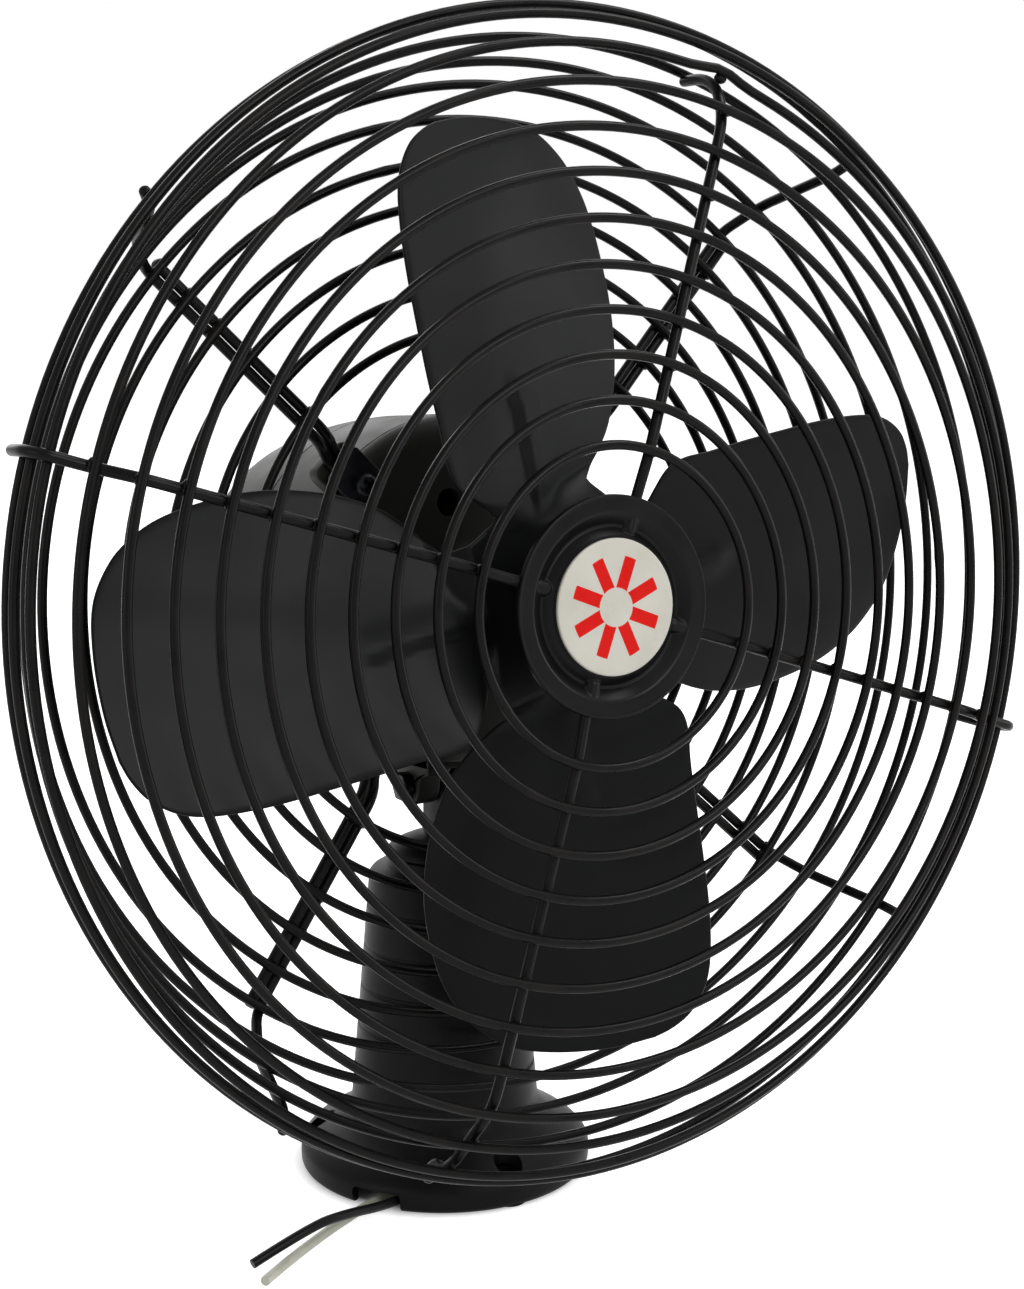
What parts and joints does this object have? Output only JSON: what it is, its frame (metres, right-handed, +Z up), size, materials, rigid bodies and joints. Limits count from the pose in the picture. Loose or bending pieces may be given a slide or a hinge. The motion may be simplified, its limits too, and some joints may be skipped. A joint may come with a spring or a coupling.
{
  "type": "vehicle fan",
  "caption": "Small vehicle fan: wire guard, pressed blades and bare motor head, tilting and swivelling on a tapered column with a screw-down foot.",
  "frame": {"origin": "centre of the foot's underside", "axes": "+Z up the column, the fan blows toward -Y, +X is at the right of a viewer facing the fan"},
  "size_m": [0.2518, 0.1469, 0.2703],
  "materials": {
    "black_moulding": "satin moulded plastic",
    "black_insulation": "soft wire insulation",
    "white_insulation": "soft wire insulation",
    "black_casting": "painted casting",
    "plated_steel": "zinc plated",
    "blackened_steel": "blackened",
    "black_paint": "gloss black enamel",
    "painted_wire": "dipped black paint",
    "ferrite": "sintered",
    "core_steel": "stacked laminations",
    "copper_wire": "varnished copper",
    "copper_bars": "turned copper",
    "bronze": "sintered bronze",
    "brass_screw": "bright",
    "brown_board": "resin board",
    "carbon": "pressed carbon",
    "white_disc": "gloss"
  },
  "bodies": {
    "base": {"base_column": "black_moulding", "lead_clip": "black_moulding", "black_lead": "black_insulation", "white_lead": "white_insulation", "swivel_stud": "plated_steel", "swivel_washer": "plated_steel", "swivel_nut": "plated_steel"},
    "neck": {"swivel_neck": "black_casting", "tilt_bolt": "blackened_steel", "tilt_nut": "blackened_steel"},
    "head": {"motor_foot": "black_casting", "foot_screws": "plated_steel", "motor_can": "black_paint", "front_cover": "black_paint", "rear_cover": "black_paint", "magnets": "ferrite", "front_bush": "bronze", "rear_bush": "bronze", "brush_plate": "brown_board", "brushes": "carbon", "brush_springs": "bronze", "front_face_rings": "painted_wire", "front_rim_rings": "painted_wire", "front_guard_spokes": "painted_wire", "rear_rim_ring": "painted_wire", "rear_side_rings": "painted_wire", "rear_back_rings": "painted_wire", "rear_ribs": "painted_wire", "guard_clamps": "blackened_steel", "guard_screws": "blackened_steel", "guard_cap": "black_paint", "cap_disc": "white_disc"},
    "rotor": {"shaft": "plated_steel", "armature_core": "core_steel", "armature_windings": "copper_wire", "commutator": "copper_bars", "thrust_washer": "black_moulding", "blade_wheel": "black_paint", "hub_bushing": "plated_steel", "hub_set_screw": "brass_screw", "hub_rivets": "plated_steel"}
  },
  "joints": [
    {"name": "head_swivel", "type": "hinge", "parent": "base", "child": "neck", "pos_m": [0, 0, 0.0768], "axis": [0, 0, 1], "range_deg": [-170, 170]},
    {"name": "head_tilt", "type": "hinge", "parent": "neck", "child": "head", "pos_m": [0, 0, 0.094], "axis": [-1, 0, 0], "range_deg": [-3, 22]},
    {"name": "blade_spin", "type": "hinge", "parent": "head", "child": "rotor", "pos_m": [0, 0, 0.14025], "axis": [0, 0.9957, -0.0929], "continuous": true}
  ]
}
